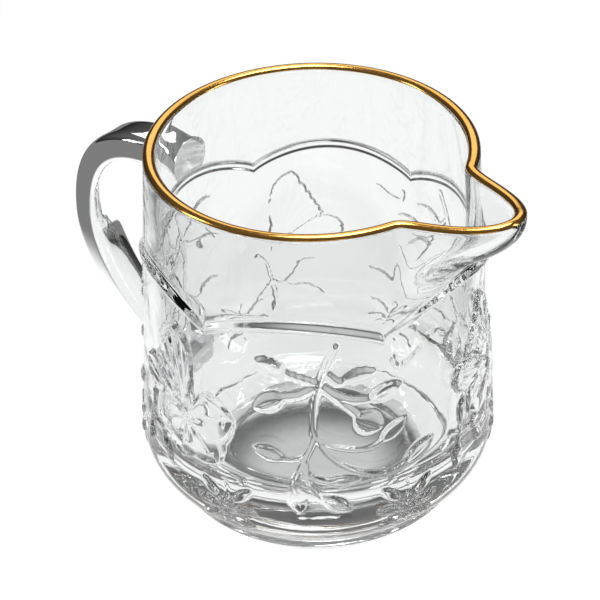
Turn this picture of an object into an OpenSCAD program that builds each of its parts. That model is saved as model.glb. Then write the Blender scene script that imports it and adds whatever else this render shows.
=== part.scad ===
// Pressed clear glass cream jug with a gilded rim, an ear handle, a pulled pouring
// lip and a garden relief of hanging sprigs, butterflies and blossoms.
// Millimetres, +Z up. The origin is the centre of the foot, on the table.
// The pouring lip points along +X and the handle along -X.

/* [Body] */
// Outer radius at the rim
rim_r = 37.5; // [30:0.5:50]
// Height of the round part of the rim above the table
height = 88; // [76:1:130]
// How much wider the body is at its lower corner than at the rim
belly = 3.7; // [0:0.1:7]
// Rounding of the lower corner of the body
heel_round = 12; // [8:0.5:14]
// Wall thickness at the rim
lip_t = 2.9; // [2:0.1:4]
// Wall thickness low on the body
wall_t = 3.8; // [3:0.1:5]
// Thickness of the glass floor
floor_t = 5.6; // [4:0.1:9]
// Rounding of the inside corner above the floor
inside_round = 18; // [9:0.5:20]

/* [Foot] */
// How far the foot ring stands in from the body's widest radius
foot_inset = 7.2; // [5.5:0.1:12]
// Width of the foot ring
foot_w = 12; // [4:0.5:14]
// Height of the foot ring under the floor
foot_h = 2.6; // [1.5:0.1:5]
// Rounding of the foot ring's lower edges
foot_round = 0.9; // [0.4:0.1:1.2]

/* [Pouring lip] */
// Plain glass between the arch moulding and the height where the lip leaves the wall
lip_gap = 0.7; // [0.3:0.1:4]
// How far the tip of the lip stands out from the round rim
lip_reach = 18.5; // [8:0.5:24]
// Half of the angle that the lip takes from the rim
lip_half_angle = 24; // [18:1:30]
// How far the tip rises above the round rim
tip_rise = 1.6; // [0:0.1:4]

/* [Gilding] */
// Thickness of the fired gold band
gilt_t = 0.2; // [0.1:0.05:0.4]
// How far the band reaches down each side of the rounded edge from its top, in degrees
gilt_turn = 60; // [30:5:80]

/* [Handle] */
// Width of the handle bar, across the jug
handle_w = 10; // [7:0.5:12]
// Thickness of the handle bar at the top
handle_t_top = 7.6; // [6:0.5:10]
// Thickness of the handle bar at the bottom
handle_t_low = 6.2; // [4:0.5:8]
// How far the middle line of the handle stands out from the rim radius
handle_reach = 29.5; // [22:0.5:40]
// How far below the rim the middle line of the handle leaves the wall
handle_drop = 17.2; // [15:0.1:20]
// Height of the middle line where the handle meets the body
handle_low_z = 13; // [10:0.5:24]

/* [Relief] */
// Height of the relief above the wall
relief_h = 0.8; // [0.4:0.1:1.5]
// How far below the rim the points between two arches lie
arch_drop = 28.5; // [26:0.5:36]
// Rise of each arch between its two points
arch_rise = 5.2; // [2:0.1:6]
// Height of the arch moulding's cross-section
arch_band = 2.6; // [2:0.1:4]
// Thickness of the arch moulding at its sharp lower edge
arch_t = 0.9; // [0.5:0.1:1.5]
// Width of the raised stems
stem_w = 1.3; // [0.8:0.1:2]

/* [Hidden] */
PANELS = 6;
PANEL_STEP = 360 / PANELS;
SPRIG_PANELS = [-60, 60, 180];
FLY_PANELS = [0, 120, -120];
CORNERS = [for (i = [0:PANELS - 1]) (i + 0.5) * PANEL_STEP];

$fn = 96;
GLASS = [0.86, 0.90, 0.91, 0.55];
GOLD = [0.86, 0.64, 0.24];
EPS = 0.01;
// Exponents of the curves: how late the lip swings out of the wall, how square the handle's
// section is, and how pointed the arches meet
LIP_SWING = 1.8;
BAR_SQUARE = 0.45;
ARCH_POINT = 0.8;

// The outside of the wall is a cone, tangent to the rounded lower corner.
widest_r = rim_r + belly;
heel_centre_r = widest_r - heel_round;
foot_r = widest_r - foot_inset;
heel_z = foot_h + heel_round;
wall_lean = tangent_lean(rim_r - heel_centre_r, height - heel_z, heel_round);
// The inside is a second cone, tangent to the rounded inside corner.
floor_z = foot_h + floor_t;
inside_centre_r = widest_r - wall_t - inside_round;
inside_centre_z = floor_z + inside_round;
inside_lean = tangent_lean(rim_r - lip_t - inside_centre_r, height - inside_centre_z, inside_round);
// The arches hang from the rim, the pouring lip starts just above them.
arch_z = height - arch_drop;
collar_z = arch_z + arch_rise + arch_band + lip_gap;
// The relief fills the straight wall between the rounded corner and the arches.
relief_low = heel_z + heel_round * sin(wall_lean);
relief_high = arch_z;

// Lean of the line through a point dx, dz from a circle's centre, tangent to the circle
function tangent_lean(dx, dz, radius) = atan2(dz, dx) - acos(radius / norm([dx, dz]));
// Outer and inner radius of the straight wall at a height
function wall_r(z) = rim_r + (height - z) * tan(wall_lean);
function inside_r(z) = rim_r - lip_t + (height - z) * tan(inside_lean);

// ---- round shapes ----

// Half profile of everything inside the outer surface, grown outward by extra, up to top_z
module outer_profile(extra, top_z) {
    lean = [cos(wall_lean), sin(wall_lean)];
    touch = [heel_centre_r, heel_z] + (heel_round + extra) * lean;
    intersection() {
        union() {
            translate([heel_centre_r, heel_z]) circle(heel_round + extra);
            polygon([[0, foot_h - extra], [heel_centre_r, foot_h - extra], [heel_centre_r, heel_z],
                     touch, [wall_r(top_z) + extra / lean[0], top_z], [0, top_z]]);
        }
        square([rim_r * 2, top_z]);
    }
}

// Half profile of the space inside the jug
module inside_profile() {
    lean = [cos(inside_lean), sin(inside_lean)];
    touch = [inside_centre_r, inside_centre_z] + inside_round * lean;
    above = height + lip_t;
    union() {
        translate([inside_centre_r, inside_centre_z]) circle(inside_round);
        polygon([[0, floor_z], [inside_centre_r, floor_z], [inside_centre_r, inside_centre_z],
                 touch, [inside_r(above), above], [0, above]]);
    }
}

// The skin of the body that holds the relief
module relief_skin() {
    difference() {
        rotate_extrude() outer_profile(relief_h, collar_z - 2 * EPS);
        rotate_extrude() outer_profile(0, collar_z + 1);
    }
}

// ---- closed meshes swept round a loop or along a line ----

function ring_index(i, j, count) = i * count + j;

// A band that closes on itself: rings[i][j] is point j of the section at station i
module closed_band(rings) {
    n = len(rings);
    m = len(rings[0]);
    polyhedron(
        points = [for (ring = rings) each ring],
        faces = [for (i = [0:n - 1], j = [0:m - 1])
            let (i2 = (i + 1) % n, j2 = (j + 1) % m)
            each [[ring_index(i, j, m), ring_index(i, j2, m), ring_index(i2, j2, m)],
                  [ring_index(i, j, m), ring_index(i2, j2, m), ring_index(i2, j, m)]]],
        convexity = 10);
}

// A bar with two ends: rings[i][j] is point j of the section at station i
module closed_bar(rings) {
    n = len(rings);
    m = len(rings[0]);
    polyhedron(
        points = [for (ring = rings) each ring],
        faces = concat(
            [[for (j = [0:m - 1]) j]],
            [[for (j = [m - 1:-1:0]) ring_index(n - 1, j, m)]],
            [for (i = [0:n - 2], j = [0:m - 1]) let (j2 = (j + 1) % m)
                each [[ring_index(i, j, m), ring_index(i + 1, j, m), ring_index(i + 1, j2, m)],
                      [ring_index(i, j, m), ring_index(i + 1, j2, m), ring_index(i, j2, m)]]]),
        convexity = 10);
}

// ---- collar, pouring lip and gilding ----

// Stations round the rim: close together in the pouring lip, wider round the rest
LIP_STEP = 2;
ROUND_STEP = 4;
lip_edge = lip_half_angle + 3;
STATIONS = concat(
    [for (a = [-lip_edge:LIP_STEP:lip_edge - EPS]) a],
    [for (a = [lip_edge:ROUND_STEP:360 - lip_edge - EPS]) a]);
GILT_STEPS = 3;
LEVEL_STEPS = 8;

// 1 in the middle of the pouring lip, 0 on the round rim
function lip_bump(a) =
    let (b = abs(a > 180 ? a - 360 : a))
    b >= lip_half_angle ? 0 : pow(cos(90 * b / lip_half_angle), 2);
// Height of the middle of the rounded edge at an angle
function edge_z(a) = height - lip_t / 2 + tip_rise * pow(lip_bump(a), 2);
// Middle of the wall at an angle, and at a share s of the way up the collar
function mid_wall(a, s) =
    let (z = collar_z + (edge_z(a) - collar_z) * s,
         r = (wall_r(z) + inside_r(z)) / 2 + lip_reach * pow(sin(90 * s), LIP_SWING) * lip_bump(a))
    [r * cos(a), r * sin(a), z];
function unit(v) = v / norm(v);
// Outward direction, square to the wall
function wall_normal(a, s) =
    let (along = mid_wall(a + 0.2, s) - mid_wall(a - 0.2, s),
         lower = max(s - 0.01, 0), upper = min(s + 0.01, 1),
         rising = mid_wall(a, upper) - mid_wall(a, lower),
         across = s <= 0 || s >= 1 ? [0, 0, 1] : rising)
    unit(cross(along, across));
function half_wall(a, s) =
    let (z = collar_z + (edge_z(a) - collar_z) * s) (wall_r(z) - inside_r(z)) / 2;
// A point of the collar's surface: side is 1 outside and -1 inside, proud is the gilding on it
function wall_point(a, s, side, proud = 0) =
    mid_wall(a, s) + side * (half_wall(a, s) + proud) * wall_normal(a, s);
// A point of the rounded edge, t degrees from the outside over the top
function edge_point(a, t, proud = 0) =
    mid_wall(a, 1) + (half_wall(a, 1) + proud) * (wall_normal(a, 1) * cos(t) + [0, 0, sin(t)]);

LEVELS = [for (k = [0:LEVEL_STEPS]) k / LEVEL_STEPS];
// Turns from the outside over the top: the gilded part in even steps, one bare step each side
GILT_ARC = [for (k = [-GILT_STEPS:GILT_STEPS]) 90 + gilt_turn * k / GILT_STEPS];
EDGE_ARC = concat([(90 - gilt_turn) / 2], GILT_ARC, [(270 + gilt_turn) / 2]);

function collar_section(a) = concat(
    [for (s = LEVELS) wall_point(a, s, 1)],
    [for (t = EDGE_ARC) edge_point(a, t)],
    [for (k = [LEVEL_STEPS:-1:0]) wall_point(a, LEVELS[k], -1)]);

// The gilding over the edge: the glass surface inside, the gold surface outside
function gilt_section(a) = concat(
    [for (t = GILT_ARC) edge_point(a, t, gilt_t)],
    [for (k = [len(GILT_ARC) - 1:-1:0]) edge_point(a, GILT_ARC[k])]);

// ---- handle ----

HANDLE_STATIONS = 30;
HANDLE_SIDES = 24;
// The middle line starts and ends this far inside the wall's inner surface.
HANDLE_SINK = 1.2;
// Points that shape the ear: [share of its reach out from the rim, share of its drop below the top]
EAR_TOP = [0.58, -0.05];
EAR_SHOULDER = [1, 0.06];
EAR_MIDDLE = [1, 0.41];
EAR_CALF = [1, 0.64];
EAR_HEEL = [0.55, 0.9];
handle_top_z = height - handle_drop;
function ear(shares) =
    [rim_r + handle_reach * shares[0], handle_top_z - (handle_top_z - handle_low_z) * shares[1]];
HANDLE_UPPER = [
    [inside_r(handle_top_z) + HANDLE_SINK, handle_top_z],
    ear(EAR_TOP), ear(EAR_SHOULDER), ear(EAR_MIDDLE)];
HANDLE_LOWER = [
    ear(EAR_MIDDLE), ear(EAR_CALF), ear(EAR_HEEL),
    [wall_r(handle_low_z) - wall_t + HANDLE_SINK, handle_low_z]];
function bezier(p, t) =
    pow(1 - t, 3) * p[0] + 3 * pow(1 - t, 2) * t * p[1] + 3 * (1 - t) * t * t * p[2] + t * t * t * p[3];
// Middle line of the handle, u from 0 at the collar to 2 at the body
function handle_line(u) = u < 1 ? bezier(HANDLE_UPPER, u) : bezier(HANDLE_LOWER, u - 1);
// Rounded section of the bar: a superellipse, flatter than a plain ellipse
function squared(x) = sign(x) * pow(abs(x), BAR_SQUARE);
function handle_section(u) =
    let (here = handle_line(u),
         ahead = unit(handle_line(min(u + 0.01, 2)) - handle_line(max(u - 0.01, 0))),
         across = [-ahead[1], ahead[0]],
         t = handle_t_top + (handle_t_low - handle_t_top) * u / 2)
    [for (k = [0:HANDLE_SIDES - 1]) let (w = 360 * k / HANDLE_SIDES,
        out = here + across * squared(sin(w)) * t / 2)
        [-out[0], squared(cos(w)) * handle_w / 2, out[1]]];

// ---- relief outlines, drawn flat and seen from outside, x to the right and y up ----

// Almond leaf with its middle at the origin, pointing along +x
module almond(length, width) {
    arc_r = (length * length + width * width) / 4 / width;
    intersection() {
        translate([0, arc_r - width / 2]) circle(arc_r);
        translate([0, width / 2 - arc_r]) circle(arc_r);
    }
}

// Petal or wing lobe along +x, drawn from a start to an end distance from the origin.
// Its widest place lies beyond the middle, and its end is blunt.
LOBE_STEPS = 10;
LOBE_SWELL = 1.5;
LOBE_BLUNT = 0.7;
function lobe_point(start, length, half_w, t) =
    motif_scale * [start + (length - start) * t,
                   half_w * pow(sin(180 * pow(t, LOBE_SWELL)), LOBE_BLUNT)];
module lobe(start, length, half_w) {
    side = [for (k = [0:LOBE_STEPS]) lobe_point(start, length, half_w, k / LOBE_STEPS)];
    polygon(concat([for (p = side) [p[0], -p[1]]],
                   [for (k = [LOBE_STEPS - 1:-1:1]) side[k]]));
}

// The motifs are drawn for a wall with this rim radius and with its relief between these heights.
DRAWN_R = 37.5;
DRAWN_LOW = 15.2;
DRAWN_HIGH = 59.5;
side_scale = rim_r / DRAWN_R;
rise_scale = (relief_high - relief_low) / (DRAWN_HIGH - DRAWN_LOW);
motif_scale = min(side_scale, rise_scale);
// Place on the real wall of a drawn point
function spot(p) = [p[0] * side_scale, relief_low + (p[1] - DRAWN_LOW) * rise_scale];

// Side of a bent line of stem at point k, half the stem's width to one side
function stem_side(points, k, side) =
    let (before = points[max(k - 1, 0)], after = points[min(k + 1, len(points) - 1)],
         run = (after - before) / norm(after - before))
    points[k] + side * motif_scale * stem_w / 2 * [-run[1], run[0]];

// A bent stem through a list of drawn points
module stem(drawn) {
    points = [for (p = drawn) spot(p)];
    last = len(points) - 1;
    polygon(concat([for (k = [0:last]) stem_side(points, k, -1)],
                   [for (k = [last:-1:0]) stem_side(points, k, 1)]));
}

// Leaf on a stalk that runs through its points to the leaf's middle; the leaf points at its turn
module stalked_leaf(stalk, l) {
    centre = [l[0], l[1]];
    translate(spot(centre)) rotate(l[4]) almond(l[2] * motif_scale, l[3] * motif_scale);
    stem(concat(stalk, [centre]));
}

// ---- relief pressed out of the wall ----

// Presses a flat outline out of the wall, its x = 0 at an angle round the body
module pressed(angle) {
    intersection() {
        rotate([0, 0, angle]) translate([heel_centre_r, 0, 0]) rotate([90, 0, 90])
            linear_extrude(height = rim_r / 2) children();
        relief_skin();
    }
}

// Angle round the wall of a motif drawn x to the right of a panel's middle
function arc_angle(x) = x / DRAWN_R * 180 / PI;

// A leaf is [right of the motif's middle, height, length, width, turn]. With it stand the points
// of its stalk, the first a hair off the stem.

// Hanging sprig
SPRIG_SHIFT = 8;
SPRIG_STEM = [[1.8, 60.5], [0.5, 57.9], [-0.7, 54.9], [-2, 50.6], [-3, 45.6], [-3.4, 39.7], [-3.1, 37],
              [-5.2, 31.3], [-6.5, 28.2]];
SPRIG_LEAVES = [
    [[[-3.3, 51.9], [-6, 52.8], [-9.7, 54.1]], [-12.4, 55.3, 8, 4.2, 156]],
    [[[0.6, 52.6], [2.4, 51.8]], [6.9, 52.6, 8, 3.6, 8]],
    [[[-4, 49.6], [-6.4, 48.2], [-9.8, 47.2]], [-12.9, 45.8, 8.5, 4.6, 209]],
    [[[-0.3, 49.7], [5.3, 46.7], [9.9, 46.2]], [13, 47, 8.5, 4.4, 14]],
    [[[-1, 46.6], [2.4, 44.9], [5.3, 42.9]], [9, 39.8, 8, 6.4, -31]],
    [[[-5.6, 35.2], [-7, 33.2], [-10.5, 32]], [-13.2, 32.3, 8, 4.2, 165]],
    [[[-0.9, 36.6], [1.2, 35.1], [8.2, 33.4], [12.4, 34.6]], [14.9, 36.3, 8, 4, 34]],
    [[[-2.2, 33.6], [0.9, 31.2], [5.1, 28.4], [12.4, 25.6], [17.9, 26.6]], [21.5, 28.4, 9.5, 4.4, 28]],
    [[[-4.3, 28.4], [-2.4, 26.4], [0.1, 25.3]], [3.3, 25.1, 8, 3, 0]],
    [[[-7.2, 27.2], [-7.6, 25.1]], [-7, 20.3, 8, 4.6, 282]],
    [[[-5, 25.9], [-3.6, 24], [-1.5, 21.2]], [1.5, 19, 8.4, 4.2, -32]]];
LOWEST_LEAVES = 2;

module leaf_sprig(panel) {
    // the two lowest leaves make room for the foot of the handle on its own panel
    last = len(SPRIG_LEAVES) - 1 - (panel == 180 ? LOWEST_LEAVES : 0);
    at = panel + arc_angle(SPRIG_SHIFT);
    color(GLASS) {
        pressed(at) stem(SPRIG_STEM);
        for (k = [0:last]) pressed(at) stalked_leaf(SPRIG_LEAVES[k][0], SPRIG_LEAVES[k][1]);
    }
}

// Blossom with a round eye; the butterfly perches where its upper petals would be. The panel at
// 120 has a forked branch in its place.
BLOSSOM_PANELS = [0, -120];
BLOSSOM_SHIFT = 15.5;
BLOSSOM_Z = 35;
BLOSSOM_EYE_R = 2.2;
PETAL_TURNS = [16, -42, -100, -158];
PETAL_START = 2.8;
PETAL_L = 10;
PETAL_HALF_W = 3;

module blossom(panel) {
    at = panel + arc_angle(BLOSSOM_SHIFT);
    color(GLASS) {
        for (turn = PETAL_TURNS)
            pressed(at) translate(spot([0, BLOSSOM_Z])) rotate(turn)
                lobe(PETAL_START, PETAL_L, PETAL_HALF_W);
        pressed(at) translate(spot([0, BLOSSOM_Z])) circle(BLOSSOM_EYE_R * motif_scale);
    }
}

// Butterfly above the blossom or the fork, its wings a fan of ribbed lobes.
// A lobe is [turn, length, half width].
FLY_PERCH = 2;
LOBE_START = 3.4;
WINGS = [[90, 15.5, 1.3], [102, 19, 1.5], [114, 19.4, 1.5], [126, 17.2, 1.4], [138, 14.6, 1.2],
         [150, 15.4, 1.3], [162, 16.4, 1.3], [173, 15, 1.1]];

module butterfly(panel) {
    at = panel + arc_angle(BLOSSOM_SHIFT);
    color(GLASS) for (wing = WINGS)
        pressed(at) translate(spot([0, BLOSSOM_Z]) + [0, FLY_PERCH * motif_scale])
            rotate(wing[0]) lobe(LOBE_START, wing[1], wing[2]);
}

// Branch of buds beside the blossom, with a twig above it
BRANCH_STEM = [[-3.2, 28], [0, 26.5], [5, 26], [9.6, 27.6]];
TWIG = [[-11.1, 55.1], [-14.7, 52.9], [-17.6, 52.9], [-18.2, 55.3]];
BRANCH_BUDS = [[[[0.4, 27.9]], [1.4, 32, 7, 3.4, 78]], [[[-0.4, 25]], [-1, 20.8, 7, 3.4, 263]],
               [[[5.6, 24.6]], [8, 21.4, 6.5, 3.2, 305]]];

module bud_branch(panel) {
    color(GLASS) {
        pressed(panel) stem(BRANCH_STEM);
        pressed(panel) stem(TWIG);
        for (bud = BRANCH_BUDS) pressed(panel) stalked_leaf(bud[0], bud[1]);
    }
}

// Forked branch under the third butterfly, with one leaf, and the same twig
FORK_PANEL = 120;
FORK_STEM = [[21.3, 35], [18.9, 32.2], [17.9, 28.4], [17.5, 26.6], [17.1, 25]];
FORK_ARM = [[15.9, 25.6], [13.9, 25.1], [11.5, 28], [9.5, 31.3], [6, 31.7]];
FORK_LEAF = [[[12.5, 23.5]], [7.9, 22, 9.4, 3.8, 198]];

module forked_branch() {
    color(GLASS) {
        for (line = [FORK_STEM, FORK_ARM, TWIG]) pressed(FORK_PANEL) stem(line);
        pressed(FORK_PANEL) stalked_leaf(FORK_LEAF[0], FORK_LEAF[1]);
    }
}

// Small spray of leaves low down between two panels, just above the rounded corner
SPRAY_SHIFT = 4.4;
SPRAY_STEM = [[0, 23.4], [0, 16.4]];
SPRAY_LEAVES = [[[[-1.5, 20]], [-4.2, 21.2, 5.8, 2.6, 140]], [[[1.5, 20]], [4.2, 21.2, 5.8, 2.6, 40]],
                [[[-1.5, 17.2]], [-4.8, 17.6, 5.6, 2.4, 176]], [[[1.5, 17.2]], [4.8, 17.6, 5.6, 2.4, 4]]];

module corner_spray(corner) {
    at = corner + arc_angle(SPRAY_SHIFT);
    color(GLASS) {
        pressed(at) stem(SPRAY_STEM);
        for (l = SPRAY_LEAVES) pressed(at) stalked_leaf(l[0], l[1]);
    }
}

// Moulding that follows the arches: a soft slope above and a sharp step below. The arch height
// is the height of its lower edge.
ARCH_STATIONS = 144;
// The step below: its crest is this far above the lower edge, and it starts to round off here
ARCH_CREST = 0.9;
ARCH_SHOULDER = 0.3;
ARCH_SHARE = 0.8;
function arch_height(a) = arch_z + arch_rise * pow(abs(cos(a * PANELS / 2)), ARCH_POINT);
function arch_point(a, z, proud) =
    (wall_r(z) + proud / cos(wall_lean)) * [cos(a), sin(a), 0] + [0, 0, z];

module arch_moulding() {
    color(GLASS) closed_band([for (i = [0:ARCH_STATIONS - 1])
        let (a = i * 360 / ARCH_STATIONS, low = arch_height(a))
        [arch_point(a, low, 0), arch_point(a, low + ARCH_SHOULDER, arch_t * ARCH_SHARE),
         arch_point(a, low + ARCH_CREST, arch_t), arch_point(a, low + arch_band, 0)]]);
}

// ---- the glass and the gilding ----

module body() {
    color(GLASS) difference() {
        rotate_extrude() outer_profile(0, collar_z);
        rotate_extrude() inside_profile();
    }
}

module collar() {
    color(GLASS) closed_band([for (a = STATIONS) collar_section(a)]);
}

module gilt_rim() {
    color(GOLD) closed_band([for (a = STATIONS) gilt_section(a)]);
}

module foot_ring() {
    color(GLASS) difference() {
        rotate_extrude() union() {
            translate([foot_r - foot_w + foot_round, 0]) square([foot_w - 2 * foot_round, heel_z]);
            translate([foot_r - foot_w, foot_round]) square([foot_w, heel_z - foot_round]);
            translate([foot_r - foot_round, foot_round]) circle(foot_round);
            translate([foot_r - foot_w + foot_round, foot_round]) circle(foot_round);
        }
        rotate_extrude() outer_profile(0, collar_z);
    }
}

module handle() {
    color(GLASS) difference() {
        closed_bar([for (k = [0:HANDLE_STATIONS]) handle_section(2 * k / HANDLE_STATIONS)]);
        rotate_extrude() outer_profile(0, height);
    }
}

body();
collar();
foot_ring();
handle();
gilt_rim();
arch_moulding();
for (i = [1:3]) {
    leaf_sprig(SPRIG_PANELS[i - 1]);
    butterfly(FLY_PANELS[i - 1]);
}
for (i = [1:2]) {
    blossom(BLOSSOM_PANELS[i - 1]);
    bud_branch(BLOSSOM_PANELS[i - 1]);
}
forked_branch();
for (i = [1:PANELS])
    corner_spray(CORNERS[i - 1]);
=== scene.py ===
import math

import bpy
import numpy as np
from mathutils import Matrix, Vector


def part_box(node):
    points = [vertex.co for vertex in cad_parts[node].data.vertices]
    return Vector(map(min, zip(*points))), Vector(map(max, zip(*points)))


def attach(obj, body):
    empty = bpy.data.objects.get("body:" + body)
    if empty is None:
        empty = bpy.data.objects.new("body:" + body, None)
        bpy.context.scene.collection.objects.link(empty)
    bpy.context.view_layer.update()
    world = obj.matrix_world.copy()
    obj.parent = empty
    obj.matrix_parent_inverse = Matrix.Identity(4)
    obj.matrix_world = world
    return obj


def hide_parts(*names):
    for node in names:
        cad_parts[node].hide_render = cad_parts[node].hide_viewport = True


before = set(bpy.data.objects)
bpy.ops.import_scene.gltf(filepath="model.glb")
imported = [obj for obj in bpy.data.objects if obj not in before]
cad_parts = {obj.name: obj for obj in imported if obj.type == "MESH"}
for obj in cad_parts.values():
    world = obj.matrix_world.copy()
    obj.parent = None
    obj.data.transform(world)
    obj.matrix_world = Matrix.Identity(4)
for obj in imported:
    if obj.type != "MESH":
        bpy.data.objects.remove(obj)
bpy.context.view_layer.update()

AZIMUTH, ELEVATION, ROLL = 38.4, 35.68, 1.65      # the camera's direction from the jug, in degrees

# ---------------------------------------------------------------- sizes, in millimetres
# The jug stands on z = 0 with its pouring lip along +X and its handle along -X.
MM = 0.001


def frame_box(node):
    """Lowest and highest corners of a CAD node, in millimetres."""
    low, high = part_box(node)
    return np.array(low) / MM, np.array(high) / MM


body_low, body_high = frame_box("body")
collar_high = frame_box("collar")[1]
foot_high = frame_box("foot_ring")[1]
handle_low, handle_high = frame_box("handle")

RIM_R = 37.5              # outer radius of the round rim
HEEL_CENTRE_R = 29.2      # centre of the outside's rounded lower corner, from the jug's axis
TIP_RISE = 1.6            # tip of the pouring lip above the round rim
LIP_T = 2.9               # wall thickness at the rim
WALL_T = 3.8              # wall thickness low on the body
FLOOR_T = 5.6             # thickness of the glass floor
HEEL_ROUND = 12.0         # rounding of the lower corner, outside
INSIDE_ROUND = 18.0       # rounding of the lower corner, inside
FOOT_W = 12.0             # width of the foot ring's land
FOOT_ROUND = 0.9          # rounding of its edges
KICK = 1.1                # how far the underside's middle rises
LIP_REACH = 18.5          # how far the pouring lip stands out from the round rim
LIP_HALF_ANGLE = 24.0     # half of the angle that the lip takes, in degrees
GILT_TURN = 60            # how far the gold reaches down each side of the rounded edge, in degrees

collar_z = body_high[2]
rim_z = collar_high[2] - TIP_RISE
under_z = body_low[2]
foot_r = foot_high[0]
heel_z = under_z + HEEL_ROUND
floor_z = under_z + FLOOR_T


def tangent_lean(dx, dz, radius):
    """Lean of the line through a point dx, dz from a circle's centre, tangent to the circle."""
    return math.atan2(dz, dx) - math.acos(radius / math.hypot(dx, dz))


wall_lean = tangent_lean(RIM_R - HEEL_CENTRE_R, rim_z - heel_z, HEEL_ROUND)
inside_centre_r = HEEL_CENTRE_R + HEEL_ROUND - WALL_T - INSIDE_ROUND
inside_centre_z = floor_z + INSIDE_ROUND
inside_lean = tangent_lean(RIM_R - LIP_T - inside_centre_r, rim_z - inside_centre_z, INSIDE_ROUND)


def wall_r(z):
    return RIM_R + (rim_z - z) * math.tan(wall_lean)


def inside_r(z):
    return RIM_R - LIP_T + (rim_z - z) * math.tan(inside_lean)


# ---------------------------------------------------------------- relief, as a height on the wall
# Every motif is drawn in millimetres: x to the right round the wall, y up from the table.
SPRIG_PANELS = (-60, 60, 180)
FLY_PANELS = (0, 120, -120)
CORNERS = (30, 90, 150, -150, -90, -30)
ARCH_Z = 59.5             # lower edge of the arch moulding at its lowest points
ARCH_RISE = 5.2
ARCH_BAND = 2.95
ARCH_T = 0.95


def arch_line(angle):
    """Height of the moulding's lower edge at an angle in degrees."""
    return ARCH_Z + ARCH_RISE * np.abs(np.cos(np.radians(angle) * 3)) ** 0.8


def dome(q, power=0.5):
    """1 in the middle, 0 at q = 1, with a round shoulder."""
    return np.clip(1 - q * q, 0, None) ** power


def leaf_height(x, y, leaf, height=0.85, vein=0.12):
    """Domed almond leaf [right, up, length, width, turn] with a faint groove for its vein."""
    cx, cy, length, width, turn = leaf
    c, s = math.cos(math.radians(turn)), math.sin(math.radians(turn))
    u = (x - cx) * c + (y - cy) * s
    v = (y - cy) * c - (x - cx) * s
    along = np.clip(np.abs(2 * u / length), 0, 1)
    half = width / 2 * (1 - along ** 2.2) + 1e-6
    ridge = height * dome(v / half, 0.6) * (1 - along ** 6)
    groove = vein * np.exp(-(v / 0.35) ** 2) * (along < 0.8) * (np.abs(v) < half)
    return ridge - groove


def curve_through(points, steps=6):
    """Points along a smooth curve through the given points."""
    p = np.array([points[0]] + list(points) + [points[-1]], float)
    out = []
    for k in range(1, len(p) - 2):
        for t in np.arange(steps) / steps:
            a = 2 * p[k]
            b = p[k + 1] - p[k - 1]
            c = 2 * p[k - 1] - 5 * p[k] + 4 * p[k + 1] - p[k + 2]
            d = -p[k - 1] + 3 * p[k] - 3 * p[k + 1] + p[k + 2]
            out.append((a + b * t + c * t * t + d * t ** 3) / 2)
    out.append(p[-2])
    return np.array(out)


def stem_height(x, y, points, start_w=1.5, end_w=1.5, height=0.7):
    """Half-round stem through the points, its width changing from start to end."""
    line = curve_through(points)
    best = np.full(x.shape, 9.0)
    runs = len(line) - 1
    for k in range(runs):
        a, b = line[k], line[k + 1]
        ab = b - a
        t = np.clip(((x - a[0]) * ab[0] + (y - a[1]) * ab[1]) / max(ab @ ab, 1e-9), 0, 1)
        w = start_w + (end_w - start_w) * (k + t) / runs
        d = np.hypot(x - a[0] - ab[0] * t, y - a[1] - ab[1] * t) / (w / 2)
        best = np.minimum(best, d)
    return height * dome(np.minimum(best, 1), 0.6)


SPRIG_SHIFT = 8
SPRIG_STEM = [(1.8, 60.5), (0.5, 57.9), (-0.7, 54.9), (-2, 50.6), (-3, 45.6), (-3.4, 39.7), (-3.1, 37),
              (-5.2, 31.3), (-6.5, 28.2)]
# Each leaf, with the stalk that carries it from the stem
SPRIG_LEAVES = [
    ([-12.4, 55.3, 8, 4.2, 156], [(-2.5, 51.5), (-6, 52.8), (-9.7, 54.1)]),
    ([6.9, 52.6, 8, 3.6, 8], [(-0.5, 54.3), (2.4, 51.4), (3.9, 52.1)]),
    ([-12.9, 45.8, 8.5, 4.6, 209], [(-2.5, 50.6), (-6.4, 48.2), (-9.8, 47.7)]),
    ([13, 47, 8.5, 4.4, 14], [(-1.5, 50.8), (1.4, 48.3), (5.3, 46.3), (9.9, 45.8)]),
    ([9, 39.8, 8, 6.4, -31], [(-1.5, 50.6), (1.9, 47.1), (5.3, 43.7), (6.4, 42.2)]),
    ([-13.2, 32.3, 8, 4.2, 165], [(-3.2, 36.7), (-5.7, 31.9), (-10.5, 31.2)]),
    ([14.9, 36.3, 8, 4, 34], [(-2.7, 37.3), (1.2, 34.7), (8.2, 33), (12.4, 34.3)]),
    ([21.5, 28.4, 9.5, 4.4, 28], [(-2.7, 37.3), (0.2, 32.4), (5.1, 28.1), (12.4, 25.2), (17.9, 26.3)]),
    ([3.3, 25.1, 8, 3, 0], [(-4.8, 30.1), (-4.3, 27.1), (0.1, 25.1)]),
    ([-7, 20.3, 8, 4.6, 282], [(-5.8, 30.1), (-7.6, 25.1), (-7.6, 23.8)]),
    ([1.5, 19, 8.4, 4.2, -32], [(-5.8, 29.5), (-3.9, 24.6), (-1.5, 20.9)])]
LOWEST_LEAVES = 2


def sprig(x, y, leaves):
    h = stem_height(x, y, SPRIG_STEM, 1.6, 1.5)
    for leaf, stalk in leaves:
        h = np.maximum(h, leaf_height(x, y, leaf))
        h = np.maximum(h, stem_height(x, y, stalk, 1.1, 1.3, 0.55))
    return h


FLOWER_X = 15.5
BLOSSOM_Z = 35
PETALS = ((16, 13.4), (-44, 13), (-100, 12), (-158, 12.6))
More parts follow.
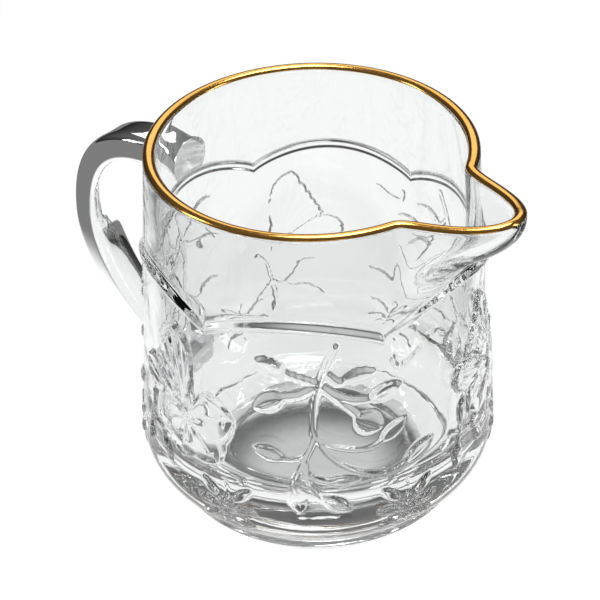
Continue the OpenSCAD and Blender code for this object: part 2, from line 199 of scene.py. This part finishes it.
# Wing outlines, as (turn, reach) from the butterfly's body
FOREWING = ((78, 5), (84, 12), (90, 17.4), (96, 19.8), (104, 21.8), (110, 19.6), (120, 17.4), (130, 16),
            (141, 15.3), (147, 15))
HINDWING = ((144, 10), (150, 15.2), (157, 17.4), (165, 18.2), (173, 17.2), (180, 14.6), (186, 9))
SCALLOP_TURN = 7.5


def wing_height(x, y, outline, ribs):
    """A raised wing: a fan of sunken veins inside a steep rim, scalloped on its outer edge."""
    turn = np.degrees(np.arctan2(y, x)) % 360
    reach = np.hypot(x, y)
    turns, reaches = np.array(outline, float).T
    tip = turns[np.argmax(reaches)]
    scallop_wave = np.abs(np.sin(np.radians((turn - tip) * 180 / SCALLOP_TURN))) ** 0.7
    scallop = 0.9 * (scallop_wave - 1) * (turn > tip)
    edge = np.interp(turn, turns, reaches, left=0, right=0) + scallop
    inside = np.minimum(edge - reach, np.minimum(turn - turns[0], turns[-1] - turn) * np.radians(reach))
    plate = np.clip(inside / 0.65, 0, 1)
    plate = plate * plate * (3 - 2 * plate)
    vein = np.cos(np.radians((turn - turns[0]) * 360 / (turns[-1] - turns[0]) * ribs)) ** 8
    sunk = 0.22 * vein * np.clip((reach - 4) / 3, 0, 1) * np.clip((inside - 1) / 1.5, 0, 1)
    dish = 0.2 * np.clip((inside - 0.8) / 2.5, 0, 1)
    return plate * (1.05 - dish - sunk)


def blossom(x, y):
    """Blossom of broad cupped petals with a dotted eye."""
    h = np.zeros(x.shape)
    for turn, length in PETALS:
        c, s = math.cos(math.radians(turn)), math.sin(math.radians(turn))
        u = (x * c + (y - BLOSSOM_Z) * s) / length
        v = ((y - BLOSSOM_Z) * c - x * s) / length
        half = 0.5 * np.sin(np.pi * np.clip(u, 0, 1) ** 1.25) ** 0.75 + 1e-6
        notch = 1 - 0.35 * np.exp(-(v / 0.09) ** 2) * (u > 0.8)
        petal = dome(np.clip(np.abs(v) / half, 0, 1), 0.35) * notch * (u > 0.12) * (u < 1)
        petal_groove = 0.12 * np.exp(-(v / 0.035) ** 2) * (u < 0.75) * (petal > 0)
        h = np.maximum(h, petal * (0.6 + 0.5 * np.abs(v) / half) - petal_groove)
    eye = np.hypot(x, y - BLOSSOM_Z)
    dots = 0.5 + 0.5 * np.cos(x * 4.2) * np.cos((y - BLOSSOM_Z) * 4.2)
    return np.maximum(h, dome(np.clip(eye / 2.6, 0, 1)) * (0.75 + 0.3 * dots))


def butterfly(x, y):
    """Butterfly with folded wings, perched above the blossom or the fork."""
    root = BLOSSOM_Z + 2
    h = np.maximum(wing_height(x, y - root, FOREWING, 3.5), wing_height(x, y - root, HINDWING, 2.5))
    return np.maximum(h, leaf_height(x, y, [0.8, root + 2.6, 9, 2.2, 96], 0.9, 0))


TWIG = [(-11.1, 55.1), (-14.7, 52.9), (-17.6, 52.9), (-18.2, 55.3)]
BUD_STEMS = [[(-3.2, 28), (0, 26.5), (5, 26), (9.6, 27.6)], [(0, 26.5), (0.6, 28), (1, 30)],
             [(0, 26.5), (-0.6, 24.4), (-0.9, 22.6)], [(5, 26), (6.4, 24.2), (7.4, 22.6)], TWIG]
BUDS = [[1.4, 32, 7, 3.4, 78], [-1, 20.8, 7, 3.4, 263], [8, 21.4, 6.5, 3.2, 305]]
# The forked branch that takes the blossom's place on one panel
FORK_PANEL = 120
FORK_STEMS = [[(21.3, 35), (18.9, 32.2), (17.9, 28.4), (17.5, 26.6), (16.6, 20.6), (17, 17)],
              [(17.5, 26.2), (13.9, 25), (11.5, 28), (9.5, 31.3), (6, 31.7)],
              [(13.9, 25), (12.5, 23.8), (11, 23.2)], [(17.5, 26.2), (21, 22), (23.4, 20.2)], TWIG]
FORK_LEAVES = [[7.9, 22, 9.4, 3.8, 198]]


def branch(x, y, stems, leaves):
    h = np.zeros(x.shape)
    for points in stems:
        h = np.maximum(h, stem_height(x, y, points, 1.1, 1.1, 0.55))
    for leaf in leaves:
        h = np.maximum(h, leaf_height(x, y, leaf, 0.8, 0.08))
    return h


SPRAY_SHIFT = 5.2
SPRAY_STEM = [(0, 21), (0.3, 17.6), (0, 13.4), (-0.4, 9.6)]
SPRAY_LEAVES = [([-4.2, 18.8, 6.4, 2.9, 136], [(0, 15.2), (-1.6, 16.4), (-2.8, 17.6)]),
                ([4.2, 18.8, 6.4, 2.9, 44], [(0, 15.2), (1.6, 16.4), (2.8, 17.6)]),
                ([-4.8, 14.6, 6, 2.8, 172], [(0, 13), (-1.6, 13.6), (-3, 14.2)]),
                ([4.8, 14.6, 6, 2.8, 8], [(0, 13), (1.6, 13.6), (3, 14.2)]),
                ([-4.2, 10.6, 6, 2.8, 202], [(-0.2, 11.6), (-1.4, 11.2), (-2.4, 10.9)]),
                ([4.2, 10.6, 6, 2.8, -20], [(-0.2, 11.6), (1.4, 11.2), (2.4, 10.9)])]


def spray(x, y):
    h = stem_height(x, y, SPRAY_STEM, 1.0, 1.2, 0.5)
    for leaf, stalk in SPRAY_LEAVES:
        h = np.maximum(h, leaf_height(x, y, leaf, 0.7, 0.08))
        h = np.maximum(h, stem_height(x, y, stalk, 0.9, 0.9, 0.45))
    return h


def moulding(angle, z):
    """The arch moulding: a sharp step below, a narrow flat crest and a soft slope above."""
    up = z - arch_line(angle)
    step = np.clip((up + 0.25) / 0.5, 0, 1)
    slope = np.clip((up - 0.7) / (ARCH_BAND - 0.7), 0, 1)
    return ARCH_T * step * step * (3 - 2 * step) * (1 - slope * slope * (3 - 2 * slope))


def relief(angle, z):
    """Height of all the relief above the plain wall, in millimetres."""
    h = moulding(angle, z)

    def motif(centre, shift, half_width, draw):
        nonlocal h
        x = (angle - centre + 180) % 360 - 180
        x = np.radians(x) * wall_r(z) - shift
        near = (np.abs(x) < half_width) & (z < arch_line(angle) - 0.3)
        if near.any():
            values = h[near]
            h[near] = np.maximum(values, draw(x[near], z[near]))

    for panel in SPRIG_PANELS:
        leaves = SPRIG_LEAVES if panel != 180 else SPRIG_LEAVES[:-LOWEST_LEAVES]
        motif(panel, SPRIG_SHIFT, 27, lambda x, y: sprig(x, y, leaves))
    for panel in FLY_PANELS:
        motif(panel, FLOWER_X, 22, butterfly)
        if panel == FORK_PANEL:
            motif(panel, 0, 22, lambda x, y: branch(x, y, FORK_STEMS, FORK_LEAVES))
        else:
            motif(panel, FLOWER_X, 22, blossom)
            motif(panel, 0, 22, lambda x, y: branch(x, y, BUD_STEMS, BUDS))
    for corner in CORNERS:
        motif(corner, SPRAY_SHIFT, 9, spray)
    return h


# ---------------------------------------------------------------- collar, pouring lip and edge
def lip_bump(angle):
    """1 in the middle of the pouring lip, 0 on the round rim."""
    off = np.abs((angle + 180) % 360 - 180)
    return np.where(off < LIP_HALF_ANGLE, np.cos(np.radians(90 * off / LIP_HALF_ANGLE)) ** 2, 0)


def edge_z(angle):
    return rim_z - LIP_T / 2 + TIP_RISE * lip_bump(angle) ** 2


def mid_wall(angle, share):
    """Middle of the wall at an angle, a share of the way up the collar."""
    z = collar_z + (edge_z(angle) - collar_z) * share
    bulge = math.sin(math.radians(90 * share)) ** 1.8
    r = (wall_r(z) + inside_r(z)) / 2 + LIP_REACH * bulge * lip_bump(angle)
    return np.stack([r * np.cos(np.radians(angle)), r * np.sin(np.radians(angle)), z], 1)


def wall_normal(angle, share):
    along = mid_wall(angle + 0.2, share) - mid_wall(angle - 0.2, share)
    if 0 < share < 1:
        across = mid_wall(angle, min(share + 0.01, 1)) - mid_wall(angle, max(share - 0.01, 0))
    else:
        across = np.tile([0.0, 0.0, 1.0], (len(angle), 1))
    normal = np.cross(along, across)
    return normal / np.linalg.norm(normal, axis=1, keepdims=True)


def half_wall(angle, share):
    z = collar_z + (edge_z(angle) - collar_z) * share
    return ((wall_r(z) - inside_r(z)) / 2)[:, None]


def wall_point(angle, share, side, proud=0.0):
    return mid_wall(angle, share) + side * (half_wall(angle, share) + proud) * wall_normal(angle, share)


def edge_point(angle, turn, proud=0.0):
    """A point of the rounded edge, turn degrees from the outside over the top."""
    t = math.radians(turn)
    out = wall_normal(angle, 1) * math.cos(t) + np.array([0, 0, math.sin(t)])
    return mid_wall(angle, 1) + (half_wall(angle, 1) + proud) * out


# ---------------------------------------------------------------- meshes
class Skin:
    """A closed skin laid in rings, from the middle of the underside to the middle of the floor."""

    def __init__(self):
        self.points, self.faces, self.last = [], [], None

    def add(self, ring):
        start = sum(len(p) for p in self.points)
        self.points.append(np.asarray(ring, float))
        return list(range(start, start + len(ring)))

    def ring(self, ring):
        """Adds a ring and joins it to the last one; a ring may have as many points, half or twice."""
        new, old = self.add(ring), self.last
        if old is not None:
            n, m = len(old), len(new)
            if n == 1:
                self.faces += [(old[0], new[(i + 1) % m], new[i]) for i in range(m)]
            elif n == m:
                self.faces += [(old[i], old[(i + 1) % n], new[(i + 1) % n], new[i]) for i in range(n)]
            elif m == 1:
                self.faces += [(old[i], old[(i + 1) % n], new[0]) for i in range(n)]
            elif n == 2 * m:
                self.faces += [(old[2 * i], old[2 * i + 1], old[(2 * i + 2) % n], new[(i + 1) % m], new[i])
                               for i in range(m)]
            else:
                self.faces += [(old[i], old[(i + 1) % n], new[(2 * i + 2) % m], new[2 * i + 1], new[2 * i])
                               for i in range(n)]
        self.last = new

    def object(self, name):
        return make_object(name, np.concatenate(self.points), self.faces)


def make_object(name, points, faces):
    mesh = bpy.data.meshes.new(name)
    mesh.from_pydata((points * MM).tolist(), [], faces)
    mesh.validate()
    mesh.shade_smooth()
    obj = bpy.data.objects.new(name, mesh)
    bpy.context.collection.objects.link(obj)
    return obj


ROUND = 720                                       # points round the relief; a multiple of 24
angles = np.arange(ROUND) * 360 / ROUND


def circle(r, z, count):
    a = np.radians(angles[:: ROUND // count])
    return np.stack([r * np.cos(a), r * np.sin(a), np.full(count, float(z))], 1)


def arc(centre_r, centre_z, radius, start, end, steps):
    """Points (r, z) on an arc, from start to end degrees above the outward direction."""
    return [(centre_r + radius * math.cos(math.radians(t)), centre_z + radius * math.sin(math.radians(t)))
            for t in np.linspace(start, end, steps)]


KICK_RINGS = (4, 8, 12, 16, 19, 21.5, 23.5, 25.5)  # the outer ones fold thinly inside the foot ring
KICK_MARGIN = 1.6                                 # the last underside ring, inside the foot ring's edge
FOOT_STEP = 0.5                                   # from the foot ring out to where the corner starts
HEEL_ROWS, PLAIN_ROWS, COARSE_ROWS = 34, 8, 3     # rows up the corner; the plain ones have no relief
WALL_ROWS = 106                                   # even rows up the wall
BELOW_ARCH = 1.4                                  # they end this far below the arches
ARCH_ROWS = (-1.0, -0.65, -0.35, -0.12, 0.1, 0.3, 0.5, 0.75, 1.0, 1.3, 1.65, 2.05, 2.5, 3.0)
FOLLOW_Z = 40                                     # from here up the rows bend towards the arches
COLLAR_ROWS, EDGE_ROWS = 22, 13
INSIDE_ROWS, CORNER_ROWS = 26, 22
FLOOR_RINGS = (19, 15, 11, 7, 3.5)


def build_cup():
    """The glass without its handle: underside, foot, wall with relief, lip, inside and floor."""
    coarse, fine = ROUND // 4, ROUND // 2
    skin = Skin()
    foot_in = foot_r - FOOT_W
    # underside, a shallow kick inside the foot ring
    skin.ring([[0, 0, under_z + KICK]])
    for r in (*KICK_RINGS, foot_in - KICK_MARGIN):
        skin.ring(circle(r, under_z + KICK * (1 - (r / foot_in) ** 2), coarse))
    ring_profile = arc(foot_in - FOOT_ROUND, under_z - FOOT_ROUND, FOOT_ROUND, 90, 0, 4)
    ring_profile += arc(foot_in + FOOT_ROUND, FOOT_ROUND, FOOT_ROUND, 180, 270, 5)
    ring_profile += [(foot_r - FOOT_W / 2, 0)]
    ring_profile += arc(foot_r - FOOT_ROUND, FOOT_ROUND, FOOT_ROUND, -90, 0, 5)
    heel_turn = -math.degrees(math.acos((foot_r + FOOT_STEP - HEEL_CENTRE_R) / HEEL_ROUND))
    for r, z in ring_profile:
        skin.ring(circle(r, z, coarse))
    heel = arc(HEEL_CENTRE_R, heel_z, HEEL_ROUND, heel_turn, math.degrees(wall_lean), HEEL_ROWS)
    for k, (r, z) in enumerate(heel[:PLAIN_ROWS]):
        skin.ring(circle(r, z, coarse if k < COARSE_ROWS else fine))
    # relief zone: rows start on the rounded corner and bend upwards to follow the arches
    lean = math.degrees(wall_lean)
    rows = heel[PLAIN_ROWS:]
    step = rows[-1][1]
    even = np.linspace(step, ARCH_Z - BELOW_ARCH, WALL_ROWS)[1:]
    straight = np.concatenate([even, ARCH_Z + np.array(ARCH_ROWS)])
    rows += [(wall_r(z), z) for z in straight]
    lift = arch_line(angles) - ARCH_Z
    for r, z in rows:
        follow = np.clip((z - FOLLOW_Z) / (ARCH_Z - BELOW_ARCH - FOLLOW_Z), 0, 1) ** 2
        zs = z + lift * follow
        on_wall = np.full(ROUND, r) if z <= step + 1e-6 else wall_r(zs)
        turn = lean if z > step else math.degrees(math.atan2(z - heel_z, r - HEEL_CENTRE_R))
        h = relief(angles, zs)
        rr = on_wall + h * math.cos(math.radians(turn))
        zz = zs + h * math.sin(math.radians(turn))
        a = np.radians(angles)
        skin.ring(np.stack([rr * np.cos(a), rr * np.sin(a), zz], 1))
    # collar, edge and the inside of the collar
    around = angles[::2]
    for share in np.linspace(0, 1, COLLAR_ROWS):
        skin.ring(wall_point(around, share, 1))
    for turn in np.linspace(0, 180, EDGE_ROWS)[1:-1]:
        skin.ring(edge_point(around, turn))
    for share in np.linspace(1, 0, COLLAR_ROWS):
        skin.ring(wall_point(around, share, -1))
    # inside wall, rounded corner and floor
    corner = arc(inside_centre_r, inside_centre_z, INSIDE_ROUND, math.degrees(inside_lean), -90, CORNER_ROWS)
    for z in np.linspace(collar_z, corner[0][1], INSIDE_ROWS)[1:-1]:
        skin.ring(circle(inside_r(z), z, coarse))
    for r, z in corner:
        skin.ring(circle(r, z, coarse))
    for r in FLOOR_RINGS:
        skin.ring(circle(r, floor_z, coarse))
    skin.ring([[0, 0, floor_z]])
    return skin.object("jug_glass")


HANDLE_W = handle_high[1] - handle_low[1]
HANDLE_T = (7.6, 6.2)                             # thickness at the top and at the bottom
HANDLE_DROP = 17.2                                # the middle line leaves the wall this far below the rim
HANDLE_REACH = 29.5                               # and stands out this far from the rim
HANDLE_LOW_Z = 13.0                               # height of its lower end
HANDLE_SINK = 2.6                                 # the lower end starts this far inside the wall
FLARE, FLARE_DEPTH = 0.45, 2.6                    # how much it swells at the wall, and how far out
ROOT_SQUARE = 0.85                                # how square the section is where it meets the wall
BAR_SQUARE = 0.45                                 # how square its section is; 1 would be an ellipse


def bezier(p, t):
    return (1 - t) ** 3 * p[0] + 3 * (1 - t) ** 2 * t * p[1] + 3 * (1 - t) * t * t * p[2] + t ** 3 * p[3]


def build_handle():
    """The ear handle, a soft-edged bar that swells into the wall at both ends."""
    top = rim_z - HANDLE_DROP

    def ear(out, down):
        return [RIM_R + HANDLE_REACH * out, top - (top - HANDLE_LOW_Z) * down]

    upper = np.array([[inside_r(top) + 1.2, top], ear(0.58, -0.05), ear(1, 0.06), ear(1, 0.41)])
    root = [wall_r(HANDLE_LOW_Z) - HANDLE_SINK, HANDLE_LOW_Z]
    lower = np.array([ear(1, 0.41), ear(1, 0.64), ear(0.55, 0.9), root])
    steps, sides = 96, 48
    line = np.array([bezier(upper, t) for t in np.linspace(0, 1, steps // 2)]
                    + [bezier(lower, t) for t in np.linspace(0, 1, steps // 2 + 1)[1:]])
    points, faces = [], []
    n = len(line)
    for k, here in enumerate(line):
        ahead = line[min(k + 1, n - 1)] - line[max(k - 1, 0)]
        ahead /= np.linalg.norm(ahead)
        across = np.array([-ahead[1], ahead[0]])
        share = k / (n - 1)
        depth = min(here[0] - wall_r(here[1]), 12)
        flare = 1 + FLARE * math.exp(-(max(depth, 0) / FLARE_DEPTH) ** 1.4)
        t = (HANDLE_T[0] + (HANDLE_T[1] - HANDLE_T[0]) * share) * flare
        w = HANDLE_W * (1 + (flare - 1) * 0.5)
        square = BAR_SQUARE + (ROOT_SQUARE - BAR_SQUARE) * math.exp(-(max(depth, 0) / 5) ** 2)
        for j in range(sides):
            c, s = math.cos(2 * math.pi * j / sides), math.sin(2 * math.pi * j / sides)
            out = here + across * math.copysign(abs(s) ** square, s) * t / 2
            points.append([-out[0], math.copysign(abs(c) ** square, c) * w / 2, out[1]])
    faces.append(tuple(reversed(range(sides))))
    faces.append(tuple((n - 1) * sides + j for j in range(sides)))
    for k in range(n - 1):
        for j in range(sides):
            j2 = (j + 1) % sides
            a, b = k * sides, (k + 1) * sides
            faces.append((a + j, a + j2, b + j2, b + j))
    return make_object("handle_bar", np.array(points), faces)


def join_glass(cup, bar):
    """Melts the handle bar into the cup, so that no glass surface is left inside the glass."""
    join = cup.modifiers.new("join", "BOOLEAN")
    join.operation = "UNION"
    join.solver = "MANIFOLD"
    join.object = bar
    bpy.context.view_layer.update()
    mesh = bpy.data.meshes.new_from_object(cup.evaluated_get(bpy.context.evaluated_depsgraph_get()))
    cup.modifiers.clear()
    cup.data = mesh
    bpy.data.objects.remove(bar)
    mesh.shade_smooth()
    mesh.set_sharp_from_angle(angle=math.radians(70))
    return cup


GILT_IN, GILT_OUT = -0.03, 0.13                   # the gold, from just under the glass surface to outside


def build_gilding():
    """The fired gold band: a thin closed skin over the rounded edge."""
    around = angles[::2]
    turns = np.linspace(90 - GILT_TURN, 90 + GILT_TURN, 15)
    rings = [edge_point(around, turns[0] - 1.5, GILT_IN)]
    rings += [edge_point(around, t, GILT_OUT) for t in turns]
    rings += [edge_point(around, turns[-1] + 1.5, GILT_IN)]
    rings += [edge_point(around, t, GILT_IN) for t in turns[::-1]]
    n, m = len(rings), len(around)
    faces = [(i * m + j, i * m + (j + 1) % m, (i + 1) % n * m + (j + 1) % m, (i + 1) % n * m + j)
             for i in range(n) for j in range(m)]
    return make_object("gilt_band", np.concatenate(rings), faces)


# ---------------------------------------------------------------- materials
def colour(hex_value):
    """sRGB hex to linear."""
    channels = [int(hex_value[i:i + 2], 16) / 255 for i in (1, 3, 5)]
    return [c / 12.92 if c <= 0.04045 else ((c + 0.055) / 1.055) ** 2.4 for c in channels] + [1.0]


def add(tree, kind, settings=None, **inputs):
    """Adds a node with its settings; an input is a value or another node's output."""
    node = tree.nodes.new(kind)
    for key, value in (settings or {}).items():
        setattr(node, key, value)
    for key, value in inputs.items():
        socket = node.inputs[key.replace("_", " ")]
        if isinstance(value, bpy.types.NodeSocket):
            tree.links.new(value, socket)
        else:
            socket.default_value = value
    return node


def new_material(name):
    material = bpy.data.materials.new(name)
    material.use_nodes = True
    material.node_tree.nodes.clear()
    return material, material.node_tree


def finish_material(tree, surface):
    add(tree, "ShaderNodeOutputMaterial", Surface=surface.outputs[0])


def per_mm(wavelength):
    """Noise scale for a pattern that repeats about every so many millimetres."""
    return 1 / (wavelength * MM)


def pressed_glass():
    """Soda-lime glass, pressed in a mould and fire-polished: perfectly clear, with the slow
    ripple of a chilled mould wall and a trace of haze that softens its glints."""
    material, tree = new_material("pressed_soda_lime_glass")
    place = add(tree, "ShaderNodeTexCoord").outputs["Object"]
    ripple = add(tree, "ShaderNodeTexNoise", Vector=place, Scale=per_mm(11), Detail=1.5, Roughness=0.4)
    skin = add(tree, "ShaderNodeTexNoise", Vector=place, Scale=per_mm(2.2), Detail=1.0, Roughness=0.5)
    slow = add(tree, "ShaderNodeBump", Strength=0.35, Distance=0.00035, Height=ripple.outputs["Fac"])
    fast = add(tree, "ShaderNodeBump", Strength=0.2, Distance=0.00004, Height=skin.outputs["Fac"],
               Normal=slow.outputs["Normal"])
    haze = add(tree, "ShaderNodeMapRange", Value=ripple.outputs["Fac"], From_Min=0.35, From_Max=0.7,
               To_Min=0.0, To_Max=0.012)
    glass = add(tree, "ShaderNodeBsdfPrincipled", Base_Color=colour("#F6F7F7"), Transmission_Weight=1.0,
                IOR=1.52, Roughness=haze.outputs["Result"], Normal=fast.outputs["Normal"])
    finish_material(tree, glass)
    return material


def fired_gold():
    """Bright gold painted on the edge by brush and fired: a warm mirror with a faint
    brushed unevenness, deeper in tone where the film lies thicker."""
    material, tree = new_material("fired_liquid_gold")
    place = add(tree, "ShaderNodeTexCoord").outputs["Object"]
    film = add(tree, "ShaderNodeTexNoise", Vector=place, Scale=per_mm(6), Detail=3.0, Roughness=0.55)
    grain = add(tree, "ShaderNodeTexNoise", Vector=place, Scale=per_mm(0.8), Detail=2.0, Roughness=0.6)
    tone = add(tree, "ShaderNodeMix", {"data_type": "RGBA"}, Factor=film.outputs["Fac"])
    tone.inputs[6].default_value = colour("#E0A04A")
    tone.inputs[7].default_value = colour("#F2BE6A")
    sheen = add(tree, "ShaderNodeMapRange", Value=grain.outputs["Fac"], From_Min=0.3, From_Max=0.7,
                To_Min=0.10, To_Max=0.2)
    bump = add(tree, "ShaderNodeBump", Strength=0.25, Distance=0.00006, Height=film.outputs["Fac"])
    gold = add(tree, "ShaderNodeBsdfPrincipled", Base_Color=tone.outputs[2], Metallic=1.0,
               Roughness=sheen.outputs["Result"], Normal=bump.outputs["Normal"])
    finish_material(tree, gold)
    return material


# The painted pool of light on the floor reaches further behind the jug than before it; all in metres.
POOL_BACK = 0.10                                  # middle of the lit part, behind the jug
POOL_SIDE, POOL_SIDE_END = 0.093, 0.122           # half width where it starts to fade and has faded
POOL_DEPTH, POOL_DEPTH_END = 0.18, 0.26           # the same from front to back
POOL_EDGE = 0.20                                  # painted level of the floor outside the pool of light
SHADE_IN, SHADE_OUT = 0.0245, 0.0285              # painted shade under the jug: its edge, and where it is gone
SHADE_BACK = -0.006                               # how far its middle lies behind the jug's
SHADE_FLAT = 0.011                                # its middle is even out to here
SHADE_MIDDLE, SHADE_RIM = 0.66, 0.06              # levels of the painted shade


def floor_with_painted_light():
    """Floor that glows like a lit sheet of opal acrylic, with a painted pool of light on it: an even white
    round the jug that fades to grey further out, and painted shade right under the jug."""
    material, tree = new_material("floor_painted_light_and_shade")
    place = add(tree, "ShaderNodeTexCoord").outputs["Object"]
    grain = add(tree, "ShaderNodeTexNoise", Vector=place, Scale=1.5, Detail=0.0)

    def fade(value, start, end, start_level, end_level):
        return add(tree, "ShaderNodeMapRange", {"interpolation_type": "SMOOTHSTEP"}, Value=value,
                   From_Min=start, From_Max=end, To_Min=start_level, To_Max=end_level).outputs["Result"]

    def join(operation, first, second):
        node = add(tree, "ShaderNodeMath", {"operation": operation})
        tree.links.new(first, node.inputs[0])
        tree.links.new(second, node.inputs[1])
        return node.outputs["Value"]

    def size_of(value):
        return add(tree, "ShaderNodeMath", {"operation": "ABSOLUTE"}, Value=value).outputs["Value"]

    a = math.radians(AZIMUTH)
    turned = add(tree, "ShaderNodeMapping", {"vector_type": "TEXTURE"}, Vector=place, Rotation=(0, 0, a),
                 Location=(-POOL_BACK * math.sin(a), POOL_BACK * math.cos(a), 0)).outputs["Vector"]
    axes = add(tree, "ShaderNodeSeparateXYZ", Vector=turned)
    side = fade(size_of(axes.outputs["X"]), POOL_SIDE, POOL_SIDE_END, 1.0, POOL_EDGE)
    depth = fade(size_of(axes.outputs["Y"]), POOL_DEPTH, POOL_DEPTH_END, 1.0, POOL_EDGE)
    under_jug = add(tree, "ShaderNodeMapping", {"vector_type": "TEXTURE"}, Vector=place,
                    Location=(-SHADE_BACK * math.sin(a), SHADE_BACK * math.cos(a), 0)).outputs["Vector"]
    near = add(tree, "ShaderNodeVectorMath", {"operation": "LENGTH"}, Vector=under_jug).outputs["Value"]
    # painted shade: the floor's glow is dimmed to a grey disc under the jug, darkest at its rim
    shade = fade(near, SHADE_FLAT, SHADE_IN, SHADE_MIDDLE, SHADE_RIM)
    open_floor = fade(near, SHADE_IN, SHADE_OUT, 0.0, 1.0)
    level = add(tree, "ShaderNodeMapRange", Value=grain.outputs["Fac"], To_Min=1.0, To_Max=1.03)
    # painted pool of light: the floor's glow fades to grey away from the jug
    pool = join("MINIMUM", side, depth)
    under = join("MAXIMUM", shade, open_floor)
    total = join("MULTIPLY", pool, join("MULTIPLY", under, level.outputs["Result"]))
    # the floor glows by emission; its strength carries the painted light and the painted shade
    glow = add(tree, "ShaderNodeEmission", Color=colour("#FFFFFF"), Strength=total)
    finish_material(tree, glow)
    return material


# ---------------------------------------------------------------- the jug
glass = join_glass(build_cup(), build_handle())
glass.data.materials.clear()
glass.data.materials.append(pressed_glass())
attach(glass, "root")
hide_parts(*[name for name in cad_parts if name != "gilt_rim"])

gold = build_gilding()
gold.data.materials.append(fired_gold())
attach(gold, "root")
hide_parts("gilt_rim")


# ---------------------------------------------------------------- stage, lights and camera
def build_floor():
    """A pale round sheet under the jug, glowing with a painted pool of light and painted shade."""
    size, sides = 1.6, 96
    turns = [2 * math.pi * k / sides for k in range(sides)]
    points = np.array([[size * math.cos(t), size * math.sin(t), -0.0002] for t in turns]) / MM
    floor = make_object("floor", points, [tuple(range(sides))])
    floor.data.materials.append(floor_with_painted_light())
    return floor


build_floor()


def softbox(name, turn, rise, distance, width, height, radiance):
    """Soft light seen from the jug at a turn round it and a rise above the table, in degrees."""
    middle = Vector((0, 0, 0.045))
    t, e = math.radians(turn), math.radians(rise)
    place = middle + distance * Vector((math.cos(t) * math.cos(e), math.sin(t) * math.cos(e), math.sin(e)))
    light = bpy.data.lights.new(name, "AREA")
    light.shape = "RECTANGLE"
    light.size, light.size_y = width, height
    light.energy = radiance * math.pi * width * height
    obj = bpy.data.objects.new(name, light)
    obj.location = place
    obj.rotation_euler = (middle - place).to_track_quat("-Z", "Y").to_euler()
    bpy.context.collection.objects.link(obj)
    return obj


FRONT = AZIMUTH - 90                              # the camera's side of the jug
softbox("overhead", FRONT + 150, 78, 0.7, 0.30, 0.30, 9)
# the bank behind gives the gold its light and is not seen through the glass
back_bank = softbox("back_bank", FRONT + 175, 40, 0.9, 0.80, 0.45, 1.3)
back_bank.visible_transmission = False
softbox("front_low", FRONT + 5, 2, 0.7, 0.45, 0.13, 3)
softbox("left_strip", FRONT - 85, 25, 0.7, 0.10, 0.50, 6)
softbox("right_strip", FRONT + 75, 25, 0.7, 0.08, 0.50, 6)


def set_world():
    """A dim room: darkest at the height of the jug, paler overhead."""
    world = bpy.data.worlds.new("room")
    world.use_nodes = True
    tree = world.node_tree
    tree.nodes.clear()
    place = add(tree, "ShaderNodeTexCoord").outputs["Generated"]
    up = add(tree, "ShaderNodeSeparateXYZ", Vector=place).outputs["Z"]
    ramp = add(tree, "ShaderNodeMapRange", Value=up, From_Min=0.0, From_Max=1.0, To_Min=0.02, To_Max=0.16)
    glow = add(tree, "ShaderNodeBackground", Color=colour("#FFFFFF"), Strength=ramp.outputs["Result"])
    add(tree, "ShaderNodeOutputWorld", Surface=glow.outputs[0])
    bpy.context.scene.world = world


set_world()

DISTANCE = 0.605                                  # from the middle of the jug, in metres
SENSOR, LENS = 36, 156                            # in millimetres
AIM_SIDE, AIM_UP = -0.0035, 0.0072                # the aim, off the middle of the jug, in metres


def set_camera():
    a, e = math.radians(AZIMUTH), math.radians(ELEVATION)
    back = Vector((math.sin(a) * math.cos(e), -math.cos(a) * math.cos(e), math.sin(e)))
    right = Vector((math.cos(a), math.sin(a), 0))
    up = back.cross(right)
    centre = Vector((0, 0, RIM_R * MM))
    camera_data = bpy.data.cameras.new("camera")
    camera_data.sensor_width = SENSOR
    camera_data.lens = LENS
    camera_data.clip_start = 0.01
    camera = bpy.data.objects.new("camera", camera_data)
    camera.location = centre + back * DISTANCE
    aim = centre + right * AIM_SIDE + up * AIM_UP
    rotation = (aim - camera.location).to_track_quat("-Z", "Y").to_matrix().to_4x4()
    rotation = rotation @ Matrix.Rotation(math.radians(-ROLL), 4, "Z")
    camera.rotation_euler = rotation.to_euler()
    bpy.context.collection.objects.link(camera)
    bpy.context.scene.camera = camera


set_camera()

scene = bpy.context.scene
scene.view_settings.view_transform = "Standard"
scene.cycles.max_bounces = 24
scene.cycles.transmission_bounces = 24
scene.cycles.glossy_bounces = 12
